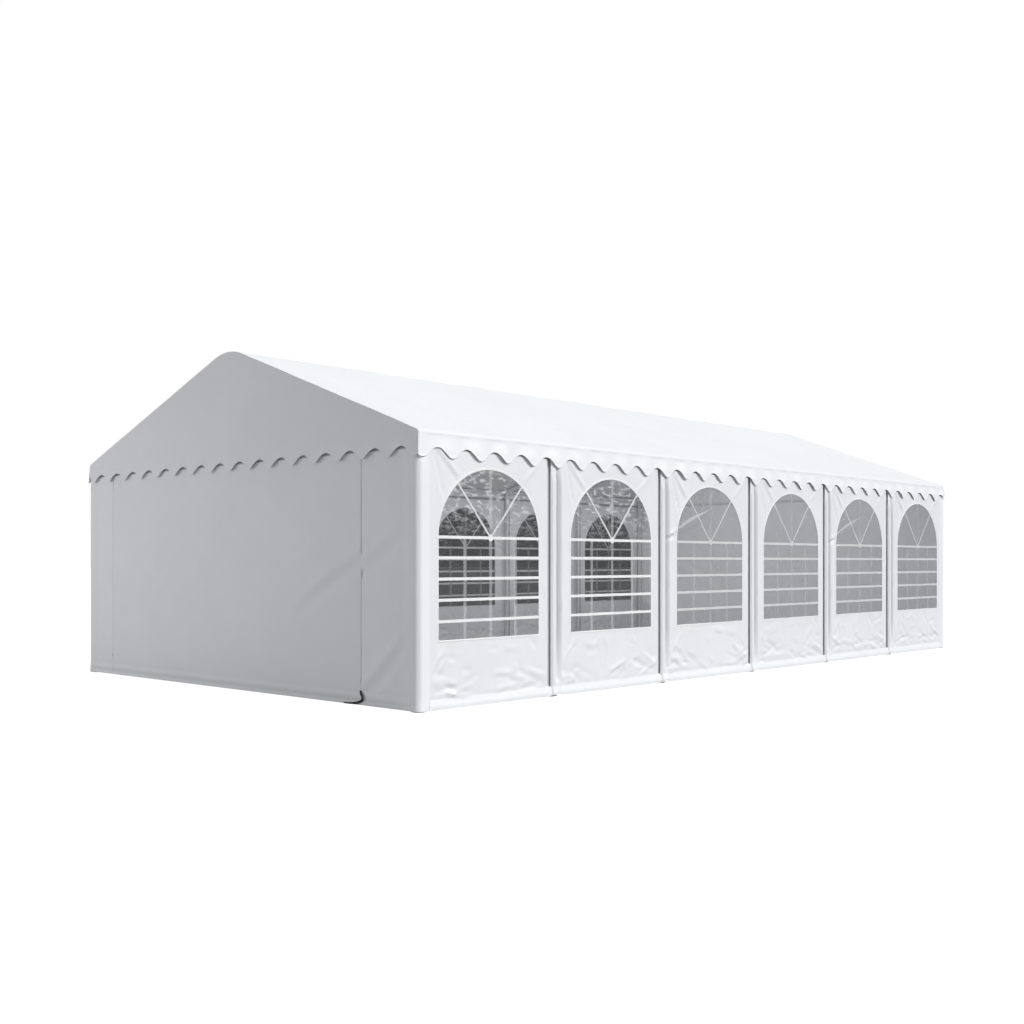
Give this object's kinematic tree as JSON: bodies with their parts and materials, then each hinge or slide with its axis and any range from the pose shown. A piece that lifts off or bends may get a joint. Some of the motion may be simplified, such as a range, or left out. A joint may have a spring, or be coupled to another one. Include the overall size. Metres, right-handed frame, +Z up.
{
  "type": "marquee tent",
  "caption": "White marquee tent with a steel tube frame, a gabled fabric roof with scalloped edges, arched window walls and zipped gable walls.",
  "frame": {"origin": "middle of the footprint at ground level, under the foot plates", "axes": "+Z up; X along the tent, +X to the right as seen from the front; the front long wall faces -Y and the left gable faces -X"},
  "size_m": [12.0086, 6.07, 3.72],
  "materials": {
    "steel": "galvanised steel tube, satin",
    "roof_fabric": "white coated tent fabric, smooth, slightly glossy",
    "wall_fabric": "white coated tent fabric, smooth, lightly creased",
    "window_film": "clear flexible window film, glossy, crinkled"
  },
  "bodies": {
    "root": {"portal_frame_1": "steel", "portal_frame_2": "steel", "portal_frame_3": "steel", "portal_frame_4": "steel", "portal_frame_5": "steel", "portal_frame_6": "steel", "portal_frame_7": "steel", "ridge_purlin": "steel", "eave_purlin_front": "steel", "eave_purlin_back": "steel", "mid_purlin_front": "steel", "mid_purlin_back": "steel", "ground_bar_front": "steel", "ground_bar_back": "steel", "ground_bar_left": "steel", "ground_bar_right": "steel", "gable_beam_left": "steel", "gable_beam_right": "steel", "roof_slope_front": "roof_fabric", "roof_slope_back": "roof_fabric", "valance_front": "roof_fabric", "valance_back": "roof_fabric", "gable_sheet_left": "roof_fabric", "gable_sheet_right": "roof_fabric", "wall_panel_front_1": "wall_fabric", "wall_panel_front_2": "wall_fabric", "wall_panel_front_3": "wall_fabric", "wall_panel_front_4": "wall_fabric", "wall_panel_front_5": "wall_fabric", "wall_panel_front_6": "wall_fabric", "wall_panel_back_1": "wall_fabric", "wall_panel_back_2": "wall_fabric", "wall_panel_back_3": "wall_fabric", "wall_panel_back_4": "wall_fabric", "wall_panel_back_5": "wall_fabric", "wall_panel_back_6": "wall_fabric", "window_film_front_1": "window_film", "window_film_front_2": "window_film", "window_film_front_3": "window_film", "window_film_front_4": "window_film", "window_film_front_5": "window_film", "window_film_front_6": "window_film", "window_film_back_1": "window_film", "window_film_back_2": "window_film", "window_film_back_3": "window_film", "window_film_back_4": "window_film", "window_film_back_5": "window_film", "window_film_back_6": "window_film", "gable_side_leaf_left_1": "wall_fabric", "gable_door_leaf_left": "wall_fabric", "gable_side_leaf_left_2": "wall_fabric", "gable_side_leaf_right_1": "wall_fabric", "gable_door_leaf_right": "wall_fabric", "gable_side_leaf_right_2": "wall_fabric"}
  },
  "joints": []
}
